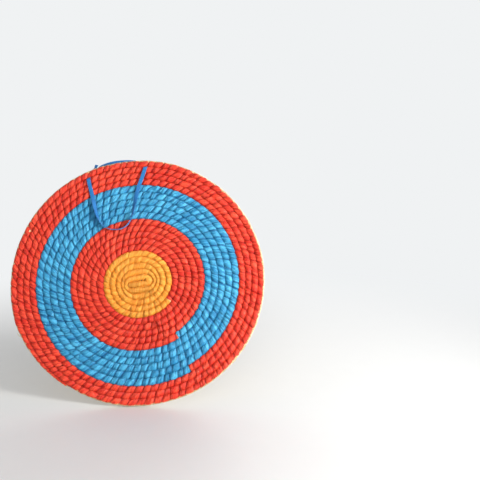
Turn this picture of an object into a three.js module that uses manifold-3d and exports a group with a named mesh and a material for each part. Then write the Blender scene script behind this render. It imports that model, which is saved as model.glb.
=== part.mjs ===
// A round archery boss: straw rope wound flat from a folded middle, in four painted lengths butted end
// to end, held flat by three lines of twine drawn right across it, with a flat cord to hang it by.
// Millimetres, +Z up, the painted face towards -Y and the bare back towards +Y. The origin lies on the
// back, in the middle of the coil, on the short straight start of the rope.

import * as THREE from 'three';
import { mergeVertices } from 'three/addons/utils/BufferGeometryUtils.js';
import Module from 'manifold-3d';

const wasm = await Module();
wasm.setup();

// Straw rope
const ROPE_THICKNESS = 14;
const GOLD_PITCH = 12.05;
const INNER_RED_PITCH = 12.65;
const BLUE_PITCH = 13.7;
const RIM_PITCH = 12.4;
const TURN_GAP = 0.6;
const BUTT_GAP = 0.4;
const ROPE_FLAT_SHARE = 0.25;

// Coil: the rope starts with a short straight run, and the first turns are folded round it
const FOLD_RUN = 28;
const CORE_RUN = 5;
const RIM_RUN = 9;
const NARROWING_TURNS = 2;
const CORE_TURNS = 5;
const WIDENING_TURNS = 3;
const RUN_SQUARENESS = 4;
const COIL_TILT_DEGREES = 9.5;
const STEPS_PER_TURN = 24;
const CLIMB_START_DEGREES = 270;
const CLIMB_SWEEP_DEGREES = 120;
const SLIT_END_DEGREES = 90;
const TURNS_PER_PITCH = 5;

// Where each rope length ends, in whole turns and degrees counted from the fold
const BULL_END = { turns: 4, degrees: 322.5 };
const INNER_RED_END = { turns: 9, degrees: 296.5 };
const BLUE_END = { turns: 14, degrees: 291.5 };
const OUTER_RED_END = { turns: 18, degrees: 226.5 };
const FOLD_START = { turns: -1, degrees: 235 };

// The outer end tapers away against the turn inside it
const TAIL_TAPER = 155;
const TAIL_WIDTH_SHARE = 0.25;
const TAIL_THICKNESS_SHARE = 0.6;

// Binding twine, each line in bores of its own depth
const TWINE_DIAMETER = 2;
const TWINE_CLEARANCE = 0.3;
const TWINE_DEPTH_STEP = 3.5;
const TWINE_LINES = 3;
const TWINE_SIDES = 6;
const FIRST_TWINE_DEGREES = 37.5;

// Flat hanging cord, its knot and the two tips that the knot leaves
const CORD_WIDTH = 8.4;
const CORD_THICKNESS = 2.6;
const CORD_CLEARANCE = 0.3;
const CORD_EDGE_SHARE = 0.4;
const CORD_STEPS_PER_STRETCH = 2;
const KNOT_SIZE = new THREE.Vector3(16, 12, 14);
const KNOT_AROUND = 12;
const KNOT_RINGS = 8;
const KNOT_TIP_THICKNESS = 1.6;
const KNOT_TIP_ROOT_SHARE = 0.7;
const KNOT_TIP_END_SHARE = 0.25;

// The cord's route, from the knot along the rim, through the straw, down and up the face, through the
// straw again and back to the knot. Each row is a point and the way that the cord's flat side faces.
const FACE = [0, -1, 0];
const RIM = [0, 0, 1];
const RIM_AT_LEFT = [-0.42, 0, 0.91];
const LOOP = [0, 0, 1];
const TURNING_ON_RIGHT = [-0.5, -0.87, 0];
const TURNED_ON_RIGHT = [-0.87, -0.5, 0];
const EDGE_ON_RIGHT = [-0.95, 0, 0.3];
const EDGE_ON_LEFT = [0.95, 0, 0.3];
const TURNED_ON_LEFT = [0.87, -0.5, 0];
const TURNING_ON_LEFT = [0.5, -0.87, 0];
const CORD_ROUTE = [
  [[-86.2, 6.4, 235.3], FACE],
  [[-77, 4.8, 240.1], FACE],
  [[-62, 2.4, 244.7], FACE],
  [[-46, 1.7, 247.3], FACE],
  [[-28, 1.7, 248.1], FACE],
  [[-13, 1.7, 247.3], FACE],
  [[-2, 1.7, 245.1], FACE],
  [[5.4, 1.6, 241.5], FACE],
  [[9.8, 0.8, 238.2], FACE],
  [[11.4, -2.6, 236.1], RIM],
  [[11.5, -7, 235.7], RIM],
  [[11.4, -11.4, 235.2], RIM],
  [[10.8, -14.9, 232.5], FACE],
  [[9.6, -15.7, 227.7], FACE],
  [[4.9, -15.7, 212.7], FACE],
  [[-2.8, -17.5, 187.7], TURNING_ON_RIGHT],
  [[-8, -18.6, 162.7], TURNED_ON_RIGHT],
  [[-12.2, -18.9, 139.3], EDGE_ON_RIGHT],
  [[-17.6, -18.9, 123.3], LOOP],
  [[-25.8, -18.9, 113.7], LOOP],
  [[-35.2, -18.9, 108.9], LOOP],
  [[-46.3, -18.9, 107.6], LOOP],
  [[-58.7, -18.9, 109.3], LOOP],
  [[-70, -18.9, 114.9], LOOP],
  [[-77.6, -18.9, 124.3], EDGE_ON_LEFT],
  [[-83.1, -18.6, 137.2], TURNED_ON_LEFT],
  [[-88.6, -17.5, 156.7], TURNING_ON_LEFT],
  [[-94, -15.9, 177.2], FACE],
  [[-99, -15.7, 195.7], FACE],
  [[-101.2, -15.7, 204.3], FACE],
  [[-102.2, -14.8, 209.5], FACE],
  [[-102.4, -11.4, 212.4], RIM_AT_LEFT],
  [[-102.4, -7, 213], RIM_AT_LEFT],
  [[-102.6, -2.6, 213.7], RIM_AT_LEFT],
  [[-103.4, 1, 216.7], FACE],
  [[-102.6, 4.5, 221.3], FACE],
  [[-99.5, 6.2, 224.9], FACE],
];
const THROUGH_AT_TOP = [7, 14];
const THROUGH_AT_LEFT = [29, 35];
const KNOT_AT = new THREE.Vector3(-93, 6.8, 230.2);
const KNOT_TIPS = [new THREE.Vector3(-91.5, 7.4, 243.2), new THREE.Vector3(-86, 7.6, 217.2)];

// Finishes
const GOLD = '#f0a03c';
const RED = '#e2422e';
const BLUE = '#3fa3dc';
const STRAW = '#d9bf8e';
const CORD_BLUE = '#2b8ae0';
const ROPE_ROUGHNESS = 0.6;
const TWINE_ROUGHNESS = 0.8;
const CORD_ROUGHNESS = 0.5;

const radians = THREE.MathUtils.degToRad;
const degrees = THREE.MathUtils.radToDeg;
const stepDegrees = 360 / STEPS_PER_TURN;
const cornerReach = 2 / (1 + Math.cos(radians(stepDegrees / 2)));
const coilTilt = radians(COIL_TILT_DEGREES);
const coilPlace = new THREE.Matrix4().makeRotationY(-coilTilt)
  .setPosition(0, -ROPE_THICKNESS / 2, 0);
const windingDegrees = (end) => end.turns * 360 + end.degrees;

// How many turns the line between two turns has climbed at a winding angle
function turnsClimbed(angle) {
  const laps = Math.max(0, (angle - CLIMB_START_DEGREES) / 360);
  const whole = Math.floor(laps);
  const climb = Math.min(1, ((laps - whole) * 360) / CLIMB_SWEEP_DEGREES);
  return whole + (1 - Math.cos(Math.PI * climb)) / 2;
}

// How far the line lies from the coil's middle. It starts half a pitch from it, beside the straight run,
// and each painted length of rope has its own pitch.
function edgeRadius(angle) {
  const turns = turnsClimbed(angle);
  const pitches = [GOLD_PITCH, INNER_RED_PITCH, BLUE_PITCH, RIM_PITCH];
  return pitches.reduce((radius, pitch, index) => {
    const most = index < pitches.length - 1 ? TURNS_PER_PITCH : Infinity;
    return radius + pitch * THREE.MathUtils.clamp(turns - index * TURNS_PER_PITCH, 0, most);
  }, GOLD_PITCH / 2);
}

// Half of the straight run over and under the middle
function halfRun(angle) {
  const laps = Math.max(0, (angle - CLIMB_START_DEGREES) / 360);
  const narrowed = THREE.MathUtils.lerp(FOLD_RUN, CORE_RUN, Math.min(1, laps / NARROWING_TURNS));
  const widened = THREE.MathUtils.clamp((laps - CORE_TURNS) / WIDENING_TURNS, 0, 1);
  return (narrowed + (RIM_RUN - CORE_RUN) * widened) / 2;
}

// A point of the line between two turns, moved outwards by an offset, in the coil's own axes. Inside its
// first quarter turn it is the straight slit between the rope's start and the turn above it, which the
// start follows back to its end. The corners lie as far outside the round line as the middles of the
// straight steps lie inside it.
function turnEdge(angle, offset) {
  const around = radians(angle);
  const bend = radians(Math.max(Math.abs(angle), SLIT_END_DEGREES));
  const radius = edgeRadius(angle) * cornerReach;
  const alongRun = THREE.MathUtils.clamp(RUN_SQUARENESS * Math.cos(around), -1, 1) * halfRun(angle);
  const across = radius * Math.cos(bend) + offset * Math.cos(around) + alongRun;
  return new THREE.Vector3(across, 0, radius * Math.sin(bend) + offset * Math.sin(around));
}

const tailEnd = windingDegrees(OUTER_RED_END);
const tailStart = tailEnd - degrees(TAIL_TAPER / edgeRadius(tailEnd));

// The rope's six-sided section at a winding angle, flat on the face and on the back
function ropeSection(angle) {
  const taper = THREE.MathUtils.clamp((angle - tailStart) / (tailEnd - tailStart), 0, 1);
  const widthShare = THREE.MathUtils.lerp(1, TAIL_WIDTH_SHARE, taper);
  const depth = (ROPE_THICKNESS / 2) * THREE.MathUtils.lerp(1, TAIL_THICKNESS_SHARE, taper);
  const inner = turnEdge(angle, TURN_GAP / 2);
  const outer = inner.clone().lerp(turnEdge(angle + 360, -TURN_GAP / 2), widthShare);
  const corner = (share, side) => inner.clone().lerp(outer, share).setY(side * depth);
  return [
    inner,
    corner(ROPE_FLAT_SHARE, -1),
    corner(1 - ROPE_FLAT_SHARE, -1),
    outer,
    corner(1 - ROPE_FLAT_SHARE, 1),
    corner(ROPE_FLAT_SHARE, 1),
  ].map((point) => point.applyMatrix4(coilPlace));
}

function middleOf(section) {
  const sum = new THREE.Vector3();
  section.forEach((corner) => sum.add(corner));
  return sum.divideScalar(section.length);
}

// An end cut square across the straight stretch that holds a winding angle
function ropeEnd(angle, trim) {
  const before = Math.floor(angle / stepDegrees) * stepDegrees;
  const from = ropeSection(before);
  const to = ropeSection(before + stepDegrees);
  const start = middleOf(from);
  const end = middleOf(to);
  const along = end.clone().sub(start).normalize();
  const cut = start.clone().lerp(end, (angle - before) / stepDegrees).addScaledVector(along, trim);
  return from.map((corner, index) => {
    const edge = to[index].clone().sub(corner);
    const reach = cut.clone().sub(corner).dot(along) / edge.dot(along);
    return edge.multiplyScalar(reach).add(corner);
  });
}

// The sections of one rope length, from its first cut to its last
function ropeRings(start, startTrim, end, endTrim) {
  const rings = [ropeEnd(start, startTrim)];
  const first = (Math.floor(start / stepDegrees) + 1) * stepDegrees;
  for (let angle = first; angle < end; angle += stepDegrees) {
    rings.push(ropeSection(angle));
  }
  rings.push(ropeEnd(end, -endTrim));
  return rings;
}

// The least distance between edges of the rope that are half a turn apart or more
function leastGap(rings) {
  const rails = [0, 3].map((corner) => rings.map((ring) => ring[corner]));
  const near = new THREE.Vector3();
  const line = new THREE.Line3();
  let least = Infinity;
  rails.forEach((rail) => rails.forEach((other) => rail.forEach((point, index) => {
    for (let far = index + STEPS_PER_TURN / 2; far < other.length - 1; far += 1) {
      line.set(other[far], other[far + 1]);
      line.closestPointToPoint(point, true, near);
      least = Math.min(least, near.distanceTo(point));
    }
    for (let far = index - STEPS_PER_TURN / 2; far > 0; far -= 1) {
      line.set(other[far], other[far - 1]);
      line.closestPointToPoint(point, true, near);
      least = Math.min(least, near.distanceTo(point));
    }
  })));
  return least;
}

// A closed tube through sections of equal corner counts
function tube(rings) {
  const sides = rings[0].length;
  const positions = rings.flat().flatMap((corner) => corner.toArray());
  const faces = [];
  for (let ring = 0; ring < rings.length - 1; ring += 1) {
    for (let side = 0; side < sides; side += 1) {
      const here = ring * sides + side;
      const beside = ring * sides + ((side + 1) % sides);
      faces.push(here, beside, beside + sides);
      faces.push(here, beside + sides, here + sides);
    }
  }
  const last = (rings.length - 1) * sides;
  for (let side = 1; side < sides - 1; side += 1) {
    faces.push(0, side + 1, side);
    faces.push(last, last + side, last + side + 1);
  }
  const geometry = new THREE.BufferGeometry();
  geometry.setAttribute('position', new THREE.Float32BufferAttribute(positions, 3));
  geometry.setIndex(faces);
  return geometry;
}

function solidOf(geometry) {
  const bare = geometry.clone();
  bare.deleteAttribute('normal');
  bare.deleteAttribute('uv');
  const merged = mergeVertices(bare);
  return new wasm.Manifold(new wasm.Mesh({
    numProp: 3,
    vertProperties: Float32Array.from(merged.attributes.position.array),
    triVerts: Uint32Array.from(merged.index.array),
  }));
}

function geometryOf(solid) {
  const result = solid.getMesh();
  const geometry = new THREE.BufferGeometry();
  geometry.setAttribute('position', new THREE.Float32BufferAttribute(result.vertProperties, 3));
  geometry.setIndex(Array.from(result.triVerts));
  return geometry;
}

function namedMesh(name, geometry, color, roughness) {
  const smooth = geometry.clone();
  smooth.computeVertexNormals();
  const material = new THREE.MeshStandardMaterial({ color, roughness, metalness: 0 });
  const mesh = new THREE.Mesh(smooth, material);
  mesh.name = name;
  return mesh;
}

// How far a line of twine reaches at an angle: to the middle of the outermost full turn there
function twineReach(lineDegrees) {
  const turns = Math.floor((tailStart - lineDegrees) / 360);
  const angle = lineDegrees + turns * 360;
  const inner = turnEdge(angle, 0);
  const outer = turnEdge(angle + 360, 0);
  return inner.add(outer).length() / 2;
}

// A straight line of twine across the coil, or the bore that holds it when given a clearance
function twineLine(index, clearance) {
  const lineDegrees = FIRST_TWINE_DEGREES + (index * 180) / TWINE_LINES;
  const forward = twineReach(lineDegrees) + clearance;
  const backward = twineReach(lineDegrees + 180) + clearance;
  const radius = TWINE_DIAMETER / 2 + clearance;
  const depth = (index - (TWINE_LINES - 1) / 2) * TWINE_DEPTH_STEP;
  const geometry = new THREE.CylinderGeometry(radius, radius, forward + backward, TWINE_SIDES);
  geometry.translate(0, (forward - backward) / 2, 0);
  geometry.rotateZ(-Math.PI / 2);
  geometry.rotateY(-radians(lineDegrees));
  geometry.translate(0, depth, 0);
  return geometry.applyMatrix4(coilPlace);
}

// The flat cord's eight-sided sections between two points of its route
function cordRings(fromPoint, toPoint, clearance) {
  const curve = new THREE.CatmullRomCurve3(CORD_ROUTE.map(([point]) => new THREE.Vector3(...point)));
  const stretches = CORD_ROUTE.length - 1;
  const half = CORD_WIDTH / 2 + clearance;
  const thick = CORD_THICKNESS / 2 + clearance;
  const edge = thick * CORD_EDGE_SHARE;
  const outline = [
    [thick, edge - half], [thick, half - edge], [edge, half], [-edge, half],
    [-thick, half - edge], [-thick, edge - half], [-edge, -half], [edge, -half],
  ];
  const rings = [];
  for (let step = fromPoint * CORD_STEPS_PER_STRETCH; step <= toPoint * CORD_STEPS_PER_STRETCH; step += 1) {
    const place = step / CORD_STEPS_PER_STRETCH;
    const index = Math.min(Math.floor(place), stretches - 1);
    const centre = curve.getPoint(place / stretches);
    const along = curve.getTangent(place / stretches);
    const facing = new THREE.Vector3(...CORD_ROUTE[index][1])
      .lerp(new THREE.Vector3(...CORD_ROUTE[index + 1][1]), place - index);
    facing.addScaledVector(along, -facing.dot(along)).normalize();
    const across = along.clone().cross(facing);
    rings.push(outline.map(([out, side]) => centre.clone()
      .addScaledVector(facing, out).addScaledVector(across, side)));
  }
  return rings;
}

function cordLength() {
  const curve = new THREE.CatmullRomCurve3(CORD_ROUTE.map(([point]) => new THREE.Vector3(...point)));
  return curve.getLength();
}

// A short tapered tip of the flat cord, from inside the knot outwards
function knotTip(tip) {
  const along = tip.clone().sub(KNOT_AT).normalize();
  const across = new THREE.Vector3(0, 1, 0).cross(along).normalize();
  const out = along.clone().cross(across);
  const section = (centre, share) => [[1, -1], [1, 1], [-1, 1], [-1, -1]].map(([side, face]) => centre.clone()
    .addScaledVector(across, (side * CORD_WIDTH * share) / 2)
    .addScaledVector(out, (face * KNOT_TIP_THICKNESS) / 2));
  return tube([section(KNOT_AT, KNOT_TIP_ROOT_SHARE), section(tip, KNOT_TIP_END_SHARE)]);
}

function hangingKnot() {
  const lump = new THREE.SphereGeometry(1 / 2, KNOT_AROUND, KNOT_RINGS);
  lump.scale(KNOT_SIZE.x, KNOT_SIZE.y, KNOT_SIZE.z);
  lump.translate(KNOT_AT.x, KNOT_AT.y, KNOT_AT.z);
  return KNOT_TIPS.reduce((solid, tip) => solid.add(solidOf(knotTip(tip))), solidOf(lump));
}

const bores = [];
for (let index = 0; index < TWINE_LINES; index += 1) {
  bores.push(solidOf(twineLine(index, TWINE_CLEARANCE)));
}
const passages = [THROUGH_AT_TOP, THROUGH_AT_LEFT]
  .map(([from, to]) => solidOf(tube(cordRings(from, to, CORD_CLEARANCE))));

function ropeLength(name, start, end, cuts, color) {
  const startTrim = start === FOLD_START ? 0 : BUTT_GAP / 2;
  const endTrim = end === OUTER_RED_END ? 0 : BUTT_GAP / 2;
  const rings = ropeRings(windingDegrees(start), startTrim, windingDegrees(end), endTrim);
  console.log(`${name}: least gap to itself ${leastGap(rings).toFixed(2)} mm`);
  const solid = cuts.reduce((body, cut) => body.subtract(cut), solidOf(tube(rings)));
  return namedMesh(name, geometryOf(solid), color, ROPE_ROUGHNESS);
}

const boss = new THREE.Group();
boss.add(ropeLength('bull_rope', FOLD_START, BULL_END, bores, GOLD));
boss.add(ropeLength('inner_red_rope', BULL_END, INNER_RED_END, bores, RED));
boss.add(ropeLength('blue_rope', INNER_RED_END, BLUE_END, bores, BLUE));
boss.add(ropeLength('outer_red_rope', BLUE_END, OUTER_RED_END, [...bores, ...passages], RED));
for (let index = 0; index < TWINE_LINES; index += 1) {
  boss.add(namedMesh(`binding_twine_${index + 1}`, twineLine(index, 0), STRAW, TWINE_ROUGHNESS));
}
boss.add(namedMesh('hanging_cord', tube(cordRings(0, CORD_ROUTE.length - 1, 0)), CORD_BLUE, CORD_ROUGHNESS));
boss.add(namedMesh('hanging_cord_knot', geometryOf(hangingKnot()), CORD_BLUE, CORD_ROUGHNESS));
console.log(`hanging_cord: ${cordLength().toFixed(0)} mm from knot to knot`);

export default boss;
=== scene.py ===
"""Round archery boss of coiled straw rope with a flat cord: shapes, finishes, light and camera."""

import logging
import math
from dataclasses import dataclass, field
from enum import Enum

import bmesh
import bpy
import numpy as np
from mathutils import Matrix, Vector


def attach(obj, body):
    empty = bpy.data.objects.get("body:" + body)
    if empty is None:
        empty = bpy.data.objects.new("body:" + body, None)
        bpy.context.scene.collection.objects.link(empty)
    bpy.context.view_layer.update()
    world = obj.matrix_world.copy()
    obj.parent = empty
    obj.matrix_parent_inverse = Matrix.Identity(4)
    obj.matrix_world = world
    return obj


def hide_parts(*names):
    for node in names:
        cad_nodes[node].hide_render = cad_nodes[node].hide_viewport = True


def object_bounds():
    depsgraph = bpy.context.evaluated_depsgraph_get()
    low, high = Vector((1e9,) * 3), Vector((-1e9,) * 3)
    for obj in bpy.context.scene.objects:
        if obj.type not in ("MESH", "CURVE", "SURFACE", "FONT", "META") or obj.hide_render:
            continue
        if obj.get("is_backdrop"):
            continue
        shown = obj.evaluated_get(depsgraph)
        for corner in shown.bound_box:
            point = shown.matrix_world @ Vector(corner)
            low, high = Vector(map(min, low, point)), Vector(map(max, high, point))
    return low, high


log = logging.getLogger("boss")

MM = 0.001

Point = tuple[float, float, float]
Colour = tuple[float, float, float, float]
Socket = bpy.types.NodeSocket

SCREEN_TOE = 0.04045
SCREEN_TOE_SLOPE = 12.92
SCREEN_OFFSET = 0.055
SCREEN_POWER = 2.4

# Winding angles in degrees where the rope starts in the fold and where each of its lengths ends.
FOLD_START = -168.0
GOLD_END = 4 * 360 + 322.5
INNER_RED_END = 9 * 360 + 296.5
BLUE_END = 14 * 360 + 291.5
TAIL_END = 18 * 360 + 226.5


def srgb(red: float, green: float, blue: float) -> Colour:
    """Turns a colour as a screen shows it into the linear one that the shaders use.

    Args:
        red: Red from 0 to 255.
        green: Green from 0 to 255.
        blue: Blue from 0 to 255.

    Returns:
        The linear colour with an alpha of 1.
    """
    shown = (red / 255, green / 255, blue / 255)
    linear = []
    for part in shown:
        if part <= SCREEN_TOE:
            linear.append(part / SCREEN_TOE_SLOPE)
        else:
            linear.append(((part + SCREEN_OFFSET) / (1 + SCREEN_OFFSET)) ** SCREEN_POWER)
    return (linear[0], linear[1], linear[2], 1.0)


def full_lengths(points: np.ndarray) -> np.ndarray:
    """Adds up the way along a line.

    Args:
        points: Points of the line.

    Returns:
        The length from the first point to each.
    """
    return np.concatenate([[0], np.cumsum(np.linalg.norm(np.diff(points, axis=0), axis=1))])


class Wander:
    """A smooth irregular line, the same on each run, that hand-wound things follow."""

    SWING = 0.7

    def __init__(self, seed: int, shortest: float, longest: float, terms: int = 9) -> None:
        """Draws the waves that add up to the line.

        Args:
            seed: Picks one line out of many.
            shortest: Shortest wavelength in metres.
            longest: Longest wavelength in metres.
            terms: How many waves are added.
        """
        draw = np.random.default_rng(seed)
        self.waves = np.exp(draw.uniform(math.log(shortest), math.log(longest), terms))
        self.phases = draw.uniform(0, 2 * math.pi, terms)
        self.share = math.sqrt(2 / terms)

    def at(self, along: np.ndarray) -> np.ndarray:
        """Gives the line's height, about -1 to 1, at lengths in metres."""
        waves = np.sin(2 * math.pi * along[..., None] / self.waves + self.phases)
        return waves.sum(axis=-1) * self.share * self.SWING


@dataclass(frozen=True)
class CoilLine:
    """The line between neighbouring turns of the coil, from the fold in its middle to the rim."""

    pitches: tuple[float, ...] = (12.05 * MM, 12.65 * MM, 13.7 * MM, 12.4 * MM)
    turns_per_pitch: float = 5.0
    fold_run: float = 28 * MM
    core_run: float = 5 * MM
    rim_run: float = 9 * MM
    narrowing_turns: float = 2.0
    core_turns: float = 5.0
    widening_turns: float = 3.0
    run_squareness: float = 4.0
    climb_start: float = 270.0
    climb_sweep: float = 120.0
    slit_end: float = 90.0
    tilt: float = math.radians(9.5)
    middle: Point = (0.0, -7 * MM, 0.0)
    tail_end: float = TAIL_END
    tail_taper: float = 155 * MM
    tail_width_share: float = 0.25
    tail_thickness_share: float = 0.6

    def laps(self, angle: np.ndarray) -> np.ndarray:
        """Counts the laps since the first climb at winding angles in degrees."""
        return np.maximum(0, (angle - self.climb_start) / 360)

    def radius(self, angle: np.ndarray) -> np.ndarray:
        """Gives the line's distance from the fold.

        Args:
            angle: Winding angles in degrees.

        Returns:
            The distance at each angle, in metres.
        """
        laps = self.laps(angle)
        whole = np.floor(laps)
        climb = np.minimum(1, (laps - whole) * 360 / self.climb_sweep)
        turns = whole + (1 - np.cos(math.pi * climb)) / 2
        radius = np.full_like(turns, self.pitches[0] / 2)
        for index, pitch in enumerate(self.pitches):
            most = self.turns_per_pitch if index + 1 < len(self.pitches) else math.inf
            radius += pitch * np.clip(turns - index * self.turns_per_pitch, 0, most)
        return radius

    def half_run(self, angle: np.ndarray) -> np.ndarray:
        """Gives half of the straight run over and under the middle.

        Args:
            angle: Winding angles in degrees.

        Returns:
            Half of the run at each angle, in metres.
        """
        laps = self.laps(angle)
        narrowing = np.minimum(1, laps / self.narrowing_turns)
        narrowed = self.fold_run + (self.core_run - self.fold_run) * narrowing
        widened = np.clip((laps - self.core_turns) / self.widening_turns, 0, 1)
        return (narrowed + (self.rim_run - self.core_run) * widened) / 2

    def edge(self, angle: np.ndarray) -> np.ndarray:
        """Gives points of the line in the coil's own plane.

        Args:
            angle: Winding angles in degrees.

        Returns:
            One row of two coordinates for each angle.
        """
        turned = np.radians(angle)
        bend = np.radians(np.maximum(np.abs(angle), self.slit_end))
        radius = self.radius(angle)
        along = np.clip(self.run_squareness * np.cos(turned), -1, 1) * self.half_run(angle)
        return np.stack([radius * np.cos(bend) + along, radius * np.sin(bend)], axis=-1)

    def tapering(self, angle: np.ndarray) -> np.ndarray:
        """Says how far into the tail's taper a place on the coil is.

        Args:
            angle: Winding angles in degrees.

        Returns:
            From 0 before the taper to 1 at the tail's end, for each angle.
        """
        end = np.array([self.tail_end])
        sweep = math.degrees(self.tail_taper / float(self.radius(end)[0]))
        return np.clip((angle - self.tail_end + sweep) / sweep, 0, 1)

    def placed(self, flat: np.ndarray, depth: np.ndarray) -> np.ndarray:
        """Puts points of the coil's plane in their place on the boss.

        Args:
            flat: Points with two coordinates in the coil's own plane.
            depth: Their distance behind the coil's middle plane.

        Returns:
            The points with three coordinates.
        """
        across = flat[..., 0] * math.cos(self.tilt) - flat[..., 1] * math.sin(self.tilt)
        up = flat[..., 0] * math.sin(self.tilt) + flat[..., 1] * math.cos(self.tilt)
        x, y, z = self.middle
        return np.stack([across + x, depth + y, up + z], axis=-1)


@dataclass(frozen=True)
class Spot:
    """A place on the face where the finish differs from the rest."""

    x: float
    z: float
    reach: float = 4 * MM

    def near(self, points: np.ndarray) -> np.ndarray:
        """Says how near points are to the spot, from 1 on it to 0 far away."""
        away = np.hypot(points[..., 0] - self.x, points[..., 2] - self.z)
        return np.exp(-((away / self.reach) ** 2))

    @staticmethod
    def nearest(spots: tuple["Spot", ...], points: np.ndarray) -> np.ndarray:
        """Says how near points are to the nearest of some spots.

        Args:
            spots: The spots, or none.
            points: The points.

        Returns:
            From 1 on a spot to 0 far from all, for each point.
        """
        if not spots:
            return np.zeros(points.shape[:-1])
        return np.max([spot.near(points) for spot in spots], axis=0)


@dataclass(frozen=True)
class Unevenness:
    """How much a measure of the hand-wound rope strays along it, and over what lengths."""

    step: int
    shortest: float
    longest: float
    size: float

    def at(self, seed: int, along: np.ndarray) -> np.ndarray:
        """Gives how much it strays at lengths along a rope with its own seed."""
        return self.size * Wander(seed + self.step, self.shortest, self.longest).at(along)


class Shaper:
    """Turns rows of section points into closed meshes with bmesh."""

    WELD = 1e-7
    CAP_SINK_SHARE = 0.4

    @staticmethod
    def wrapped(
        name: str,
        rings: np.ndarray,
        lay_u: np.ndarray,
        lay_v: np.ndarray,
        marks: dict[str, np.ndarray] | None = None,
        cap_inset: float = 0.0,
    ) -> bpy.types.Mesh:
        """Wraps a grid round a line, welds its seam and closes its two ends.

        Args:
            name: Name of the mesh.
            rings: Section points by ring and column; the last column repeats the first.
            lay_u: The map's first coordinate for each ring.
            lay_v: The map's second coordinate for each column.
            marks: Named values by ring and column that the finishes read.
            cap_inset: Width of the ring of faces round each end's cap, or zero for a plain one.

        Returns:
            The closed mesh, whose end faces have material index 1.
        """
        count, columns = rings.shape[:2]
        grid = bmesh.new()
        bmesh.ops.create_grid(grid, x_segments=count - 1, y_segments=columns - 1, size=0.5)
        mesh = bpy.data.meshes.new(name)
        grid.to_mesh(mesh)
        grid.free()
        flat = np.empty(len(mesh.vertices) * 3)
        mesh.vertices.foreach_get("co", flat)
        flat = flat.reshape(-1, 3)
        low, high = flat.min(axis=0), flat.max(axis=0)
        place = (flat - low) / np.maximum(high - low, Shaper.WELD)
        ring = np.rint(place[:, 0] * (count - 1)).astype(int)
        column = np.rint(place[:, 1] * (columns - 1)).astype(int)
        mesh.vertices.foreach_set("co", rings[ring, column].astype(np.float32).ravel())
        for mark, values in (marks or {}).items():
            layer = mesh.attributes.new(mark, "FLOAT", "POINT")
            layer.data.foreach_set("value", values[ring, column].astype(np.float32))
        corners = np.empty(len(mesh.loops), dtype=np.int32)
        mesh.loops.foreach_get("vertex_index", corners)
        lay = mesh.uv_layers.new(name="lay")
        pairs = np.stack([lay_u[ring[corners]], lay_v[column[corners]]], axis=-1)
        lay.data.foreach_set("uv", pairs.astype(np.float32).ravel())

        closed = bmesh.new()
        closed.from_mesh(mesh)
        bmesh.ops.remove_doubles(closed, verts=closed.verts, dist=Shaper.WELD)
        open_edges = [edge for edge in closed.edges if edge.is_boundary]
        caps = bmesh.ops.holes_fill(closed, edges=open_edges, sides=0)["faces"]
        if cap_inset > 0:
            sink = -cap_inset * Shaper.CAP_SINK_SHARE
            bmesh.ops.inset_individual(closed, faces=caps, thickness=cap_inset, depth=sink)
        bmesh.ops.poke(closed, faces=caps)
        for face in closed.faces:
            face.smooth = True
            face.material_index = 1 if len(face.verts) == 3 else 0
        bmesh.ops.recalc_face_normals(closed, faces=closed.faces)
        closed.to_mesh(mesh)
        closed.free()
        return mesh

    @staticmethod
    def joined(name: str, meshes: list[bpy.types.Mesh]) -> bpy.types.Mesh:
        """Puts several meshes in one, with their maps and marks.

        Args:
            name: Name of the new mesh.
            meshes: The meshes that go in it.

        Returns:
            The mesh of them all.
        """
        whole = bmesh.new()
        for mesh in meshes:
            whole.from_mesh(mesh)
        out = bpy.data.meshes.new(name)
        whole.to_mesh(out)
        whole.free()
        return out

    @staticmethod
    def piece(
        name: str,
        mesh: bpy.types.Mesh,
        finishes: list[bpy.types.Material],
        slot: str,
        stands_for: str | None = None,
    ) -> bpy.types.Object:
        """Makes a mesh a piece of the boss.

        Args:
            name: Name of the piece.
            mesh: Its mesh.
            finishes: Its materials in the order of the mesh's indices.
            slot: Not used.
            stands_for: The solid that it replaces, if any.

        Returns:
            The object, which rides on the boss.
        """
        made = bpy.data.objects.new(name, mesh)
        bpy.context.scene.collection.objects.link(made)
        for finish in finishes:
            mesh.materials.append(finish)
        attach(made, "root")
        if stands_for:
            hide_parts(stands_for)
        return made


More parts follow.
